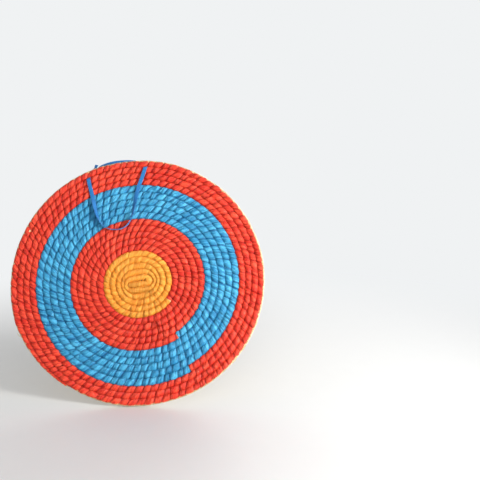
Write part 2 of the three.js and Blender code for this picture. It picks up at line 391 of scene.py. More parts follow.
class Board:
    """Lays out shader nodes with few words."""

    def __init__(self, tree: bpy.types.NodeTree) -> None:
        """Starts on a node tree and clears it.

        Args:
            tree: The tree that the nodes go in.
        """
        self.tree = tree
        tree.nodes.clear()

    def node(self, kind: str, **settings: object) -> bpy.types.Node:
        """Adds a node.

        Args:
            kind: Blender's name for the kind of node.
            **settings: Properties to set on it.

        Returns:
            The node.
        """
        made = self.tree.nodes.new(kind)
        for setting, value in settings.items():
            setattr(made, setting, value)
        return made

    def feed(self, socket: Socket, value: object) -> None:
        """Gives an input its value.

        Args:
            socket: The input.
            value: An output to link it to, or a plain value.
        """
        if isinstance(value, Socket):
            self.tree.links.new(value, socket)
        else:
            socket.default_value = value

    def math(self, operation: str, *values: object) -> Socket:
        """Adds a Math node.

        Args:
            operation: What it does.
            *values: Up to three values that it works on.

        Returns:
            Its result.
        """
        made = self.node("ShaderNodeMath", operation=operation)
        for socket, value in zip(made.inputs, values):
            self.feed(socket, value)
        return made.outputs[0]

    def times(self, first: object, second: object) -> Socket:
        """Multiplies two values."""
        return self.math("MULTIPLY", first, second)

    def sum_of(self, value: object, share: object, rest: object) -> Socket:
        """Adds a share of a value to the rest."""
        return self.math("MULTIPLY_ADD", value, share, rest)

    def ramp(
        self, value: object, low: object, high: object, bottom: object = 0.0, top: object = 1.0
    ) -> Socket:
        """Maps a value smoothly from one range onto another.

        Args:
            value: The value.
            low: Where the range that it comes from starts.
            high: Where that range ends.
            bottom: What it becomes at the start.
            top: What it becomes at the end.

        Returns:
            The mapped value.
        """
        made = self.node("ShaderNodeMapRange", interpolation_type="SMOOTHSTEP")
        for socket, item in zip(made.inputs, (value, low, high, bottom, top)):
            self.feed(socket, item)
        return made.outputs[0]

    def blend(self, share: object, first: object, second: object) -> Socket:
        """Mixes two colours.

        Args:
            share: The second colour's share.
            first: The first colour.
            second: The second colour.

        Returns:
            The mixed colour.
        """
        made = self.node("ShaderNodeMix", data_type="RGBA")
        self.feed(made.inputs[0], share)
        self.feed(made.inputs[6], first)
        self.feed(made.inputs[7], second)
        return made.outputs[2]

    def noise(self, place: object, scale: float, detail: float = 2.0, rough: float = 0.5) -> Socket:
        """Adds a Noise texture.

        Args:
            place: Where it is read.
            scale: Its waves per unit of that place.
            detail: How many finer layers it has.
            rough: How strong they are.

        Returns:
            Its value.
        """
        made = self.node("ShaderNodeTexNoise")
        self.feed(made.inputs["Vector"], place)
        made.inputs["Scale"].default_value = scale
        made.inputs["Detail"].default_value = detail
        made.inputs["Roughness"].default_value = rough
        return made.outputs[0]

    def place(self, x: object, y: object) -> Socket:
        """Makes a vector of two values.

        Args:
            x: Its first value.
            y: Its second value.

        Returns:
            The vector, whose third value is 0.
        """
        made = self.node("ShaderNodeCombineXYZ")
        self.feed(made.inputs[0], x)
        self.feed(made.inputs[1], y)
        return made.outputs[0]

    def parts(self, vector: object) -> tuple[Socket, ...]:
        """Splits a vector.

        Args:
            vector: The vector.

        Returns:
            Its three values.
        """
        made = self.node("ShaderNodeSeparateXYZ")
        self.feed(made.inputs[0], vector)
        return tuple(made.outputs)

    def cells(self, place: object, feature: str) -> bpy.types.Node:
        """Adds a flat Voronoi texture.

        Args:
            place: Where it is read.
            feature: What it measures.

        Returns:
            The node.
        """
        made = self.node("ShaderNodeTexVoronoi", voronoi_dimensions="2D", feature=feature)
        self.feed(made.inputs["Vector"], place)
        made.inputs["Scale"].default_value = 1.0
        return made

    def mark(self, name: str) -> Socket:
        """Reads a mark that is kept on the piece's mesh."""
        return self.node("ShaderNodeAttribute", attribute_name=name).outputs["Fac"]

    def lay(self) -> Socket:
        """Reads the piece's own map, which follows its length."""
        return self.node("ShaderNodeUVMap", uv_map="lay").outputs[0]

    def here(self) -> Socket:
        """Reads the place on the boss."""
        return self.node("ShaderNodeTexCoord").outputs["Object"]

    def surface(
        self,
        colour: object,
        roughness: object,
        height: object,
        relief: float,
        strength: float = 1.0,
    ) -> bpy.types.Node:
        """Adds the surface shader with its relief and links it to the material's output.

        Args:
            colour: The colour.
            roughness: The roughness.
            height: The height that the relief follows.
            relief: How deep the relief is, in metres.
            strength: How strong it is.

        Returns:
            The shader node.
        """
        shader = self.node("ShaderNodeBsdfPrincipled")
        self.feed(shader.inputs["Base Color"], colour)
        self.feed(shader.inputs["Roughness"], roughness)
        bump = self.node("ShaderNodeBump")
        bump.inputs["Distance"].default_value = relief
        bump.inputs["Strength"].default_value = strength
        self.feed(bump.inputs["Height"], height)
        self.feed(shader.inputs["Normal"], bump.outputs[0])
        self.feed(self.node("ShaderNodeOutputMaterial").inputs[0], shader.outputs[0])
        return shader

    def use(self, group: bpy.types.NodeTree, **values: object) -> bpy.types.Node:
        """Places a node group.

        Args:
            group: The group.
            **values: What its inputs are fed.

        Returns:
            The node.
        """
        made = self.node("ShaderNodeGroup", node_tree=group)
        for name, value in values.items():
            self.feed(made.inputs[name], value)
        return made


def new_material(name: str) -> tuple[bpy.types.Material, Board]:
    """Makes an empty material.

    Args:
        name: Name of the material.

    Returns:
        The material, and the board that its nodes go on.
    """
    made = bpy.data.materials.new(name)
    made.use_nodes = True
    return made, Board(made.node_tree)


def new_group(
    name: str, inputs: dict[str, float | None], outputs: tuple[str, ...]
) -> tuple[Board, bpy.types.Node, bpy.types.Node]:
    """Makes an empty shader node group with named sockets.

    Args:
        name: Name of the group.
        inputs: The inputs' names with their default values; None is a vector.
        outputs: The outputs' names; each is a number.

    Returns:
        The board with the group's input and output nodes.
    """
    tree = bpy.data.node_groups.new(name, "ShaderNodeTree")
    for label, value in inputs.items():
        kind = "NodeSocketVector" if value is None else "NodeSocketFloat"
        socket = tree.interface.new_socket(name=label, in_out="INPUT", socket_type=kind)
        if value is not None:
            socket.default_value = value
    for label in outputs:
        tree.interface.new_socket(name=label, in_out="OUTPUT", socket_type="NodeSocketFloat")
    board = Board(tree)
    return board, board.node("NodeGroupInput"), board.node("NodeGroupOutput")


@dataclass(frozen=True)
class StrawFibre:
    """Long thin straws that run slantwise along a strand, as a group that finishes share."""

    across: float = 44.0
    slant: float = 0.35
    length: float = 1.1
    sway: float = 3.0
    sway_along: float = 3.0
    sway_scale: float = 2.2
    edge_span: tuple[float, float] = (0.0, 0.42)
    streaks_along: float = 4.0
    streaks_across: float = 1.7
    tone_in_height: float = 0.45
    streak_in_height: float = 0.25

    def group(self) -> bpy.types.NodeTree:
        """Builds the group.

        Returns:
            The group.
        """
        board, given, out = new_group(
            "straw_fibre",
            {"Lay": None, "Across": self.across, "Slant": self.slant, "Length": self.length},
            ("Height", "Tone", "Streak"),
        )
        along, across, _ = board.parts(given.outputs["Lay"])
        slanted = board.sum_of(along, given.outputs["Slant"], across)
        sway_at = board.place(board.times(along, self.sway_along), slanted)
        sway = board.noise(sway_at, self.sway_scale, detail=1.0)
        rows = board.sum_of(sway, self.sway, board.times(slanted, given.outputs["Across"]))
        runs = board.times(along, given.outputs["Length"])
        straw = board.place(runs, rows)
        edges = board.cells(straw, "DISTANCE_TO_EDGE").outputs["Distance"]
        tone = board.parts(board.cells(straw, "F1").outputs["Color"])[0]
        drawn_along = board.times(runs, self.streaks_along)
        drawn_across = board.times(rows, self.streaks_across)
        streak = board.noise(board.place(drawn_along, drawn_across), scale=1.0, detail=3.0)
        height = board.sum_of(tone, self.tone_in_height, board.ramp(edges, *self.edge_span))
        board.feed(out.inputs["Height"], board.sum_of(streak, self.streak_in_height, height))
        board.feed(out.inputs["Tone"], tone)
        board.feed(out.inputs["Streak"], streak)
        return board.tree


@dataclass(frozen=True)
class PaintCover:
    """The mask of where paint from the face has reached, as a group that finishes share."""

    valley_depth: float = -5.6 * MM
    rim_depth: float = -12.8 * MM
    ragged: float = 1.6 * MM
    patch_scale: float = 190.0
    patch_roughness: float = 0.62
    patch_weight: float = 2.0
    straw_weight: float = 0.7
    edge_span: tuple[float, float] = (-0.35 * MM, 0.55 * MM)
    speck_scale: float = 420.0
    speck_roughness: float = 0.7
    speck_weight: float = 0.8
    missing_span: tuple[float, float] = (0.5, 0.62)
    even_tone: float = 0.5

    def group(self) -> bpy.types.NodeTree:
        """Builds the group.

        Returns:
            The group.
        """
        board, given, out = new_group(
            "paint_cover",
            {
                "Place": None,
                "Flank": 0.0,
                "Chip": 0.0,
                "Tone": self.even_tone,
                "Valley Depth": self.valley_depth,
                "Rim Depth": self.rim_depth,
                "Ragged": self.ragged,
            },
            ("Cover",),
        )
        place = given.outputs["Place"]
        depth = board.parts(place)[1]
        span = board.math("SUBTRACT", given.outputs["Rim Depth"], given.outputs["Valley Depth"])
        limit = board.sum_of(given.outputs["Flank"], span, given.outputs["Valley Depth"])
        patches = board.noise(place, self.patch_scale, detail=3.0, rough=self.patch_roughness)
        patches = board.math("SUBTRACT", patches, self.even_tone)
        straws = board.math("SUBTRACT", given.outputs["Tone"], self.even_tone)
        rough = board.sum_of(straws, self.straw_weight, board.times(patches, self.patch_weight))
        edge = board.sum_of(rough, given.outputs["Ragged"], limit)
        over = board.math("SUBTRACT", edge, depth)
        reached = board.ramp(over, *self.edge_span)
        specks = board.noise(place, self.speck_scale, detail=2.0, rough=self.speck_roughness)
        specks = board.math("SUBTRACT", specks, self.even_tone)
        worn = board.sum_of(specks, self.speck_weight, given.outputs["Chip"])
        kept = board.math("SUBTRACT", 1.0, board.ramp(worn, *self.missing_span))
        board.feed(out.inputs["Cover"], board.times(reached, kept))
        return board.tree


@dataclass(frozen=True)
class FlatBraid:
    """The slanting stitches of a flat braid, turned about along its middle, with painted shade in
    its low places, as a group.
    """

    picks: float = 5.2
    ends: float = 7.0
    slant: float = 0.5
    half_stitch: float = 0.5
    stitch_span: tuple[float, float] = (0.04, 0.34)
    column_span: tuple[float, float] = (0.02, 0.3)
    yarn_along: float = 26.0
    yarn_across: float = 90.0
    column_weight: float = 0.6
    least_column: float = 0.4
    yarn_in_height: float = 0.18
    yarn_in_tone: float = 0.4
    # Painted shade: how much darker the braid's tone is where its weave lies low.
    shade_from_height: float = 0.6

    def group(self) -> bpy.types.NodeTree:
        """Builds the group.

        Returns:
            The group.
        """
        board, given, out = new_group(
            "flat_braid",
            {"Lay": None, "Picks": self.picks, "Ends": self.ends},
            ("Height", "Tone"),
        )
        along, across, _ = board.parts(given.outputs["Lay"])
        ends = board.times(across, given.outputs["Ends"])
        picks = board.times(along, given.outputs["Picks"])
        slanted = board.sum_of(board.math("PINGPONG", ends, 1.0), self.slant, picks)
        waves = board.math("PINGPONG", slanted, self.half_stitch)
        stitch = board.ramp(waves, *self.stitch_span)
        columns = board.math("PINGPONG", ends, self.half_stitch)
        column = board.ramp(columns, *self.column_span)
        yarn_along = board.times(along, self.yarn_along)
        yarn_across = board.times(across, self.yarn_across)
        yarn = board.noise(board.place(yarn_along, yarn_across), scale=1.0, detail=2.0)
        raised = board.sum_of(column, self.column_weight, self.least_column)
        height = board.times(stitch, raised)
        # Painted shade: the tone darkens where the weave is low, with random yarn on top.
        tone = board.times(height, self.shade_from_height)
        board.feed(out.inputs["Height"], board.sum_of(yarn, self.yarn_in_height, height))
        board.feed(out.inputs["Tone"], board.sum_of(yarn, self.yarn_in_tone, tone))
        return board.tree


class Surfaces:
    """The node groups that the finishes share."""

    def __init__(self) -> None:
        """Builds each group once."""
        self.fibre = StrawFibre().group()
        self.cover = PaintCover().group()
        self.weave = FlatBraid().group()


@dataclass(frozen=True)
class StrawColours:
    """The colours of bare rice straw."""

    dark: Colour = srgb(176, 138, 78)
    mid: Colour = srgb(226, 196, 138)
    light: Colour = srgb(250, 234, 196)


@dataclass(frozen=True)
class PaintedStraw:
    """Satin paint sprayed on the face of straw rope, with bare straw where it hasn't reached and
    painted shade in its grooves and valleys.
    """

    name: str
    paint: Colour
    bright: Colour
    # Painted shade colour, laid between bundles, in the strand grooves and in the valleys between
    # turns.
    deep: Colour
    straw: StrawColours = StrawColours()
    paint_roughness: float = 0.5
    straw_roughness: float = 0.62
    specular: float = 0.42
    relief: float = 0.45 * MM
    bump: float = 0.85
    bundles_across: float = 15.0
    bundle_length: float = 3.0
    between_bundles: float = 0.35
    # How strongly painted shade darkens the strand grooves and the valleys between turns.
    groove_shade: float = 0.85
    valley_shade: float = 0.4
    # Share of the dark straw colour used for random stains on bare straw, and for painted shade in
    # its grooves.
    stains_and_groove_shade: float = 0.55
    patch_scale: float = 34.0
    patch_roughness: float = 0.6
    patch_in_shade: float = 0.6
    streak_in_shade: float = 0.55
    bundle_in_shade: float = 0.6
    shade_span: tuple[float, float] = (0.5, 1.3)
    between_span: tuple[float, float] = (0.75, 0.15)
    grain_span: tuple[float, float] = (0.15, 0.9)
    stain_scale: float = 75.0
    stain_roughness: float = 0.7
    stain_span: tuple[float, float] = (0.56, 0.8)
    straw_roughness_swing: float = 0.2
    dulling: float = 0.12
    glossing: float = 0.08
    gloss_span: tuple[float, float] = (0.2, 0.8)
    filled_by_paint: float = 0.35
    bundle_height: float = 1.1

    def material(self, surfaces: Surfaces) -> bpy.types.Material:
        """Builds the finish.

        Args:
            surfaces: The shared node groups.

        Returns:
            The material.
        """
        made, board = new_material(self.name)
        lay = board.lay()
        here = board.here()
        groove = board.mark("groove")
        fibre = board.use(surfaces.fibre, Lay=lay).outputs
        bundles = board.use(
            surfaces.fibre, Lay=lay, Across=self.bundles_across, Length=self.bundle_length
        ).outputs
        cover = board.use(
            surfaces.cover,
            Place=here,
            Flank=board.mark("flank"),
            Chip=board.mark("chip"),
            Tone=fibre["Tone"],
        ).outputs["Cover"]

        patchy = board.noise(here, self.patch_scale, detail=3.0, rough=self.patch_roughness)
        patchy = board.times(patchy, self.patch_in_shade)
        streaky = board.sum_of(fibre["Streak"], self.streak_in_shade, patchy)
        shade = board.sum_of(bundles["Tone"], self.bundle_in_shade, streaky)
        colour = board.blend(board.ramp(shade, *self.shade_span), self.paint, self.bright)
        # Painted shade: the deep colour darkens the low places between bundles, the strand grooves
        # and the valleys between turns.
        between = board.ramp(bundles["Height"], *self.between_span)
        colour = board.blend(board.times(between, self.between_bundles), colour, self.deep)
        grooves = board.times(groove, self.groove_shade)
        valleys = board.times(board.mark("valley"), self.valley_shade)
        colour = board.blend(board.math("MAXIMUM", grooves, valleys), colour, self.deep)

        grain = board.ramp(fibre["Tone"], *self.grain_span)
        bare = board.blend(grain, self.straw.mid, self.straw.light)
        stained = board.noise(here, self.stain_scale, detail=3.0, rough=self.stain_roughness)
        stained = board.ramp(stained, *self.stain_span)
        bare = board.blend(board.times(stained, self.stains_and_groove_shade), bare, self.straw.dark)
        # Painted shade: bare straw darkens in the strand grooves.
        bare = board.blend(board.times(groove, self.stains_and_groove_shade), bare, self.straw.dark)

        rough = board.node("ShaderNodeMix", data_type="FLOAT")
        board.feed(rough.inputs[0], cover)
        swing = self.straw_roughness_swing
        board.feed(rough.inputs[2], board.sum_of(fibre["Tone"], swing, self.straw_roughness))
        dull = self.paint_roughness + self.dulling
        glossy = self.paint_roughness - self.glossing
        gloss = board.ramp(fibre["Streak"], *self.gloss_span, dull, glossy)
        board.feed(rough.inputs[3], gloss)
        open_straw = board.sum_of(cover, -self.filled_by_paint, 1.0)
        straws = board.times(fibre["Height"], open_straw)
        height = board.sum_of(bundles["Height"], self.bundle_height, straws)
        colour = board.blend(cover, bare, colour)
        shader = board.surface(colour, rough.outputs[0], height, self.relief, self.bump)
        shader.inputs["Specular IOR Level"].default_value = self.specular
        return made


@dataclass(frozen=True)
class CutStraw:
    """The sawn end of a straw rope: pale pipes, each with its hollow painted dark as shade."""

    name: str = "cut_straw"
    rim: Colour = srgb(236, 210, 156)
    rim_tint: Colour = srgb(196, 158, 98)
    # Painted shade inside each straw's hollow.
    shaded_hole: Colour = srgb(96, 66, 34)
    pipes: float = 620.0
    wall_span: tuple[float, float] = (0.18, 0.34)
    tinting: float = 0.5
    roughness: float = 0.8
    relief: float = 0.6 * MM
    bump: float = 0.8

    def material(self) -> bpy.types.Material:
        """Builds the finish.

        Returns:
            The material.
        """
        made, board = new_material(self.name)
        cells = board.node("ShaderNodeTexVoronoi", feature="F1")
        board.feed(cells.inputs["Vector"], board.here())
        cells.inputs["Scale"].default_value = self.pipes
        wall = board.ramp(cells.outputs["Distance"], *self.wall_span)
        tint = board.parts(cells.outputs["Color"])[0]
        pale = board.blend(board.times(tint, self.tinting), self.rim, self.rim_tint)
        # Painted shade: dark in the middle of each pipe, pale at its wall.
        colour = board.blend(wall, self.shaded_hole, pale)
        board.surface(colour, self.roughness, wall, self.relief, self.bump)
        return made


@dataclass(frozen=True)
class Twisted:
    """Matt natural fibre twisted into thin twine, coloured dark brown, that lies inside the straw.
    """

    name: str = "hemp_twine"
    light: Colour = srgb(132, 104, 70)
    dark: Colour = srgb(70, 48, 30)
    fibres_across: float = 14.0
    fuzz_scale: float = 900.0
    fuzz_in_tone: float = 0.5
    fibre_in_tone: float = 0.5
    roughness: float = 0.85
    relief: float = 0.2 * MM

    def material(self, surfaces: Surfaces) -> bpy.types.Material:
        """Builds the finish.

        Args:
            surfaces: The shared node groups.

        Returns:
            The material.
        """
        made, board = new_material(self.name)
        fibre = board.use(surfaces.fibre, Lay=board.lay(), Across=self.fibres_across).outputs
        fuzz = board.noise(board.here(), self.fuzz_scale, detail=3.0)
        plain = board.times(fibre["Tone"], self.fibre_in_tone)
        tone = board.sum_of(fuzz, self.fuzz_in_tone, plain)
        colour = board.blend(tone, self.dark, self.light)
        board.surface(colour, self.roughness, fibre["Height"], self.relief)
        return made


@dataclass(frozen=True)
class BraidedCord:
    """Bright synthetic yarn braided into a flat cord with a satin sheen."""

    name: str = "blue_braid"
    light: Colour = srgb(22, 130, 202)
    dark: Colour = srgb(6, 66, 136)
    roughness: float = 0.46
    sheen: float = 0.25
    sheen_roughness: float = 0.4
    fade_scale: float = 60.0
    fading: float = 0.3
    tone_span: tuple[float, float] = (0.1, 0.95)
    dulling: float = 0.14
    glossing: float = 0.06
    relief: float = 0.35 * MM
    bump: float = 0.8

    def material(self, surfaces: Surfaces) -> bpy.types.Material:
        """Builds the finish.

        Args:
            surfaces: The shared node groups.

        Returns:
            The material.
        """
        made, board = new_material(self.name)
        weave = board.use(surfaces.weave, Lay=board.lay()).outputs
        faded = board.noise(board.here(), self.fade_scale, detail=2.0)
        faded = board.times(faded, self.fading)
        # The weave's tone holds painted shade in its low places, plus random yarn and fading.
        tone = board.ramp(board.math("ADD", weave["Tone"], faded), *self.tone_span)
        colour = board.blend(tone, self.dark, self.light)
        dull = self.roughness + self.dulling
        glossy = self.roughness - self.glossing
        gloss = board.ramp(weave["Tone"], 0.0, 1.0, dull, glossy)
        shader = board.surface(colour, gloss, weave["Height"], self.relief, self.bump)
        shader.inputs["Sheen Weight"].default_value = self.sheen
        shader.inputs["Sheen Roughness"].default_value = self.sheen_roughness
        return made


@dataclass(frozen=True)
class PhotoView:
    """Where the photograph's camera stands, from the coil's middle."""

    lens: float = 45.0
    sensor: float = 36.0
    tilt: float = math.radians(5.4)
    coil_right: float = -201.2 * MM
    coil_up: float = -87.56 * MM
    coil_ahead: float = 1190 * MM
    nearest: float = 20 * MM
    farthest: float = 60.0

    def set_up(self, middle: Point) -> bpy.types.Object:
        """Makes the camera and gives it to the scene.

        Args:
            middle: The coil's middle.

        Returns:
            The camera.
        """
        right = Vector((1, 0, 0))
        up = Vector((0, -math.sin(self.tilt), math.cos(self.tilt)))
        ahead = Vector((0, math.cos(self.tilt), math.sin(self.tilt)))
        lens = bpy.data.cameras.new("photo_camera")
        lens.lens = self.lens
        lens.sensor_width = self.sensor
        lens.clip_start = self.nearest
        lens.clip_end = self.farthest
        camera = bpy.data.objects.new("photo_camera", lens)
        bpy.context.scene.collection.objects.link(camera)
        turn = Matrix((right, up, -ahead)).transposed().to_4x4()
        stand = Vector(middle) - self.coil_right * right - self.coil_up * up
        stand -= self.coil_ahead * ahead
        camera.matrix_world = Matrix.Translation(stand) @ turn
        bpy.context.scene.camera = camera
        return camera


class Facing(Enum):
    """Which way the flat of the cord looks on a stretch of its route."""

    FACE = (0.0, -1.0, 0.0)
    RIM = (0.0, 0.0, 1.0)
    RIM_AT_LEFT = (-0.42, 0.0, 0.91)
    TURNING_ON_RIGHT = (-0.5, -0.87, 0.0)
    TURNED_ON_RIGHT = (-0.87, -0.5, 0.0)
    EDGE_ON_RIGHT = (-0.95, 0.0, 0.3)
    EDGE_ON_LEFT = (0.95, 0.0, 0.3)
    TURNED_ON_LEFT = (0.87, -0.5, 0.0)
    TURNING_ON_LEFT = (0.5, -0.87, 0.0)


@dataclass
class HangingCord:
    """The flat cord that goes through the rope, hangs in a loop on the face and is tied behind."""

    width: float = 8.4 * MM
    thickness: float = 1.7 * MM
    length: float = 0.422
    width_share: float = 0.94
    width_swing: float = 0.035
    cupping: float = 0.16
    edge_power: float = 0.72
    flat_power: float = 0.62
    stitches_round: float = 2.4
    around: int = 20
    steps: int = 14
    knot_at: Point = (-93 * MM, 6.8 * MM, 230.2 * MM)
    knot_size: Point = (16 * MM, 12 * MM, 14 * MM)
    knot_steps: int = 180
    knot_strap: float = 5.2 * MM
    knot_strap_share: float = 0.24
    knot_strap_depth: float = 1.3 * MM
    knot_depth_share: float = 0.85
    tips: tuple[Point, Point] = (
        (-91.5 * MM, 7.4 * MM, 243.2 * MM),
        (-86 * MM, 7.6 * MM, 217.2 * MM),
    )
    tip_shares: tuple[float, ...] = (0.1, 0.5, 0.92, 1)
    tip_widths: tuple[float, ...] = (4.2 * MM, 5.6 * MM, 7.0 * MM, 6.4 * MM)
    tip_steps: int = 15
    tip_bow: Point = (1.2 * MM, 1.6 * MM, 0.0)
    tip_turn: float = 0.25
    route: list[tuple[float, float, float, Facing]] = field(
        default_factory=lambda: [
            (-86.2, 6.4, 235.3, Facing.FACE),
            (-77.0, 4.8, 240.1, Facing.FACE),
            (-62.0, 2.4, 244.7, Facing.FACE),
            (-46.0, 1.7, 247.3, Facing.FACE),
            (-28.0, 1.7, 248.1, Facing.FACE),
            (-13.0, 1.7, 247.3, Facing.FACE),
            (-2.0, 1.7, 245.1, Facing.FACE),
            (5.4, 1.6, 241.5, Facing.FACE),
            (9.8, 0.8, 238.2, Facing.FACE),
            (11.4, -2.6, 236.1, Facing.RIM),
            (11.5, -7.0, 235.7, Facing.RIM),
            (11.4, -11.4, 235.2, Facing.RIM),
            (10.8, -14.9, 232.5, Facing.FACE),
            (9.6, -15.7, 227.7, Facing.FACE),
            (4.9, -15.7, 212.7, Facing.FACE),
            (-2.8, -17.5, 187.7, Facing.FACE),
            (-8.0, -18.6, 162.7, Facing.TURNING_ON_RIGHT),
            (-12.2, -18.9, 139.3, Facing.TURNED_ON_RIGHT),
            (-17.6, -18.9, 123.3, Facing.EDGE_ON_RIGHT),
            (-25.8, -18.9, 113.7, Facing.RIM),
            (-35.2, -18.9, 108.9, Facing.RIM),
            (-46.3, -18.9, 107.6, Facing.RIM),
            (-58.7, -18.9, 109.3, Facing.RIM),
            (-70.0, -18.9, 114.9, Facing.RIM),
            (-77.6, -18.9, 124.3, Facing.EDGE_ON_LEFT),
            (-83.1, -18.6, 137.2, Facing.TURNED_ON_LEFT),
            (-88.6, -17.5, 156.7, Facing.TURNING_ON_LEFT),
            (-94.0, -15.9, 177.2, Facing.FACE),
            (-99.0, -15.7, 195.7, Facing.FACE),
            (-101.2, -15.7, 204.3, Facing.FACE),
            (-102.2, -14.8, 209.5, Facing.FACE),
            (-102.4, -11.4, 212.4, Facing.RIM_AT_LEFT),
            (-102.4, -7.0, 213.0, Facing.RIM_AT_LEFT),
            (-102.6, -2.6, 213.7, Facing.RIM_AT_LEFT),
            (-103.4, 1.0, 216.7, Facing.FACE),
            (-102.6, 4.5, 221.3, Facing.FACE),
            (-99.5, 6.2, 224.9, Facing.FACE),
        ]
    )

    def line(self) -> tuple[np.ndarray, np.ndarray]:
        """Runs a smooth line through the route.

        Returns:
            Points of the line, and which way the cord's flat looks at each.
        """
        rows = [(x * MM, y * MM, z * MM, *facing.value) for x, y, z, facing in self.route]
        return smooth_line(np.array(rows), self.steps)

    def strap(
        self, name: str, line: np.ndarray, facing: np.ndarray, widths: np.ndarray
    ) -> bpy.types.Mesh:
        """Sweeps the cord's flat section along a line.

        Args:
            name: Name of the mesh.
            line: Points of the line.
            facing: Which way the flat looks at each point.
            widths: The cord's width at each point.

        Returns:
            The closed mesh.
        """
        side, lift = across_line(line, facing)
        turn = np.linspace(0, 2 * math.pi, self.around + 1)
        flat = np.sign(np.cos(turn)) * np.abs(np.cos(turn)) ** self.edge_power
        bulge = np.sign(np.sin(turn)) * np.abs(np.sin(turn)) ** self.flat_power
        cup = self.cupping * (flat**2 - 0.5)
        sideways = (widths[:, None] / 2 * flat)[..., None] * side[:, None, :]
        lifts = self.thickness / 2 * (bulge + cup)[None, :]
        rings = line[:, None, :] + sideways + lifts[..., None] * lift[:, None, :]
        lay_v = turn / (2 * math.pi) * self.stitches_round
        return Shaper.wrapped(name, rings, full_lengths(line) / self.width, lay_v)

    def tie(self) -> bpy.types.Mesh:
        """Ties the knot, with its two short tips.

        Returns:
            The knot's mesh.
        """
        wide = self.knot_strap
        turns = np.linspace(0, 2 * math.pi, self.knot_steps + 1)
        reach = (2 + np.cos(3 * turns)) / 3
        inset = wide * self.knot_strap_share
        size = np.array(self.knot_size) / 2 - np.array((inset, self.knot_strap_depth, inset))
        lump = np.stack(
            [
                reach * np.cos(2 * turns) * size[0],
                np.sin(3 * turns) * size[1] * self.knot_depth_share,
                reach * np.sin(2 * turns) * size[2],
            ],
            axis=-1,
        )
        outward = lump / np.linalg.norm(lump, axis=1, keepdims=True)
        centre = np.array(self.knot_at)
        meshes = [self.strap("knot_lump", lump + centre, outward, np.full(len(turns), wide))]
        shares = np.linspace(self.tip_shares[0], 1, self.tip_steps)
        widths = np.interp(shares, self.tip_shares, self.tip_widths)
        for index, (tip, side) in enumerate(zip(self.tips, (-1, 1))):
            bow = np.sin(math.pi * shares)[:, None] * np.array(self.tip_bow) * side
            line = centre + shares[:, None] * (np.array(tip) - centre) + bow
            facing = np.tile((self.tip_turn * side, -1.0, 0.0), (len(shares), 1))
            meshes.append(self.strap(f"knot_tip_{index}", line, facing, widths))
        return Shaper.joined("tied_knot", meshes)

    def build(self, braid: bpy.types.Material) -> list[bpy.types.Object]:
        """Builds the cord and its knot.

        Args:
            braid: The cord's finish.

        Returns:
            The cord and the knot.
        """
        line, facing = self.line()
        along = full_lengths(line)
        uneven = Wander(41, 20 * MM, 120 * MM).at(along)
        widths = self.width * (self.width_share + self.width_swing * uneven)
        strap = self.strap("flat_cord", line, facing, widths)
        finishes = [braid, braid]
        cord = Shaper.piece("flat_cord", strap, finishes, "blue_cord", "hanging_cord")
        knot = Shaper.piece("cord_knot", self.tie(), finishes, "blue_cord", "hanging_cord_knot")
        log.info("cord %.1f mm long", along[-1] / MM)
        return [cord, knot]


def across_line(line: np.ndarray, facing: np.ndarray) -> tuple[np.ndarray, np.ndarray]:
    """Finds the two directions square to a line.

    Args:
        line: Points of the line.
        facing: Which way its upper side looks, one direction or one for each point.

    Returns:
        The direction to its side and the one out of its upper side, at each point.
    """
    along = np.gradient(line, axis=0)
    along /= np.linalg.norm(along, axis=1, keepdims=True)
    side = np.cross(along, facing)
    side /= np.linalg.norm(side, axis=1, keepdims=True)
    return side, np.cross(side, along)


def smooth_line(rows: np.ndarray, steps: int) -> tuple[np.ndarray, np.ndarray]:
    """Runs a Catmull-Rom line through points and turns directions along it.

    Args:
        rows: A point and a direction in each row.
        steps: How many steps each stretch is cut into.

    Returns:
        The line's points and their directions.
    """
    padded = np.concatenate([2 * rows[:1] - rows[1:2], rows, 2 * rows[-1:] - rows[-2:-1]])
    share = np.linspace(0, 1, steps, endpoint=False)[:, None]
    parts = []
    for first, second, third, fourth in zip(padded, padded[1:], padded[2:], padded[3:]):
        parts.append(
            0.5
            * (
                2 * second
                + (third - first) * share
                + (2 * first - 5 * second + 4 * third - fourth) * share**2
                + (3 * second - first - 3 * third + fourth) * share**3
            )
        )
    whole = np.concatenate([*parts, rows[-1:]])
    return whole[:, :3], whole[:, 3:]


class Lying(Enum):
    """Where a loose straw lies on its rope."""

    BACK = "back"
    RIM = "rim"
    END = "end"


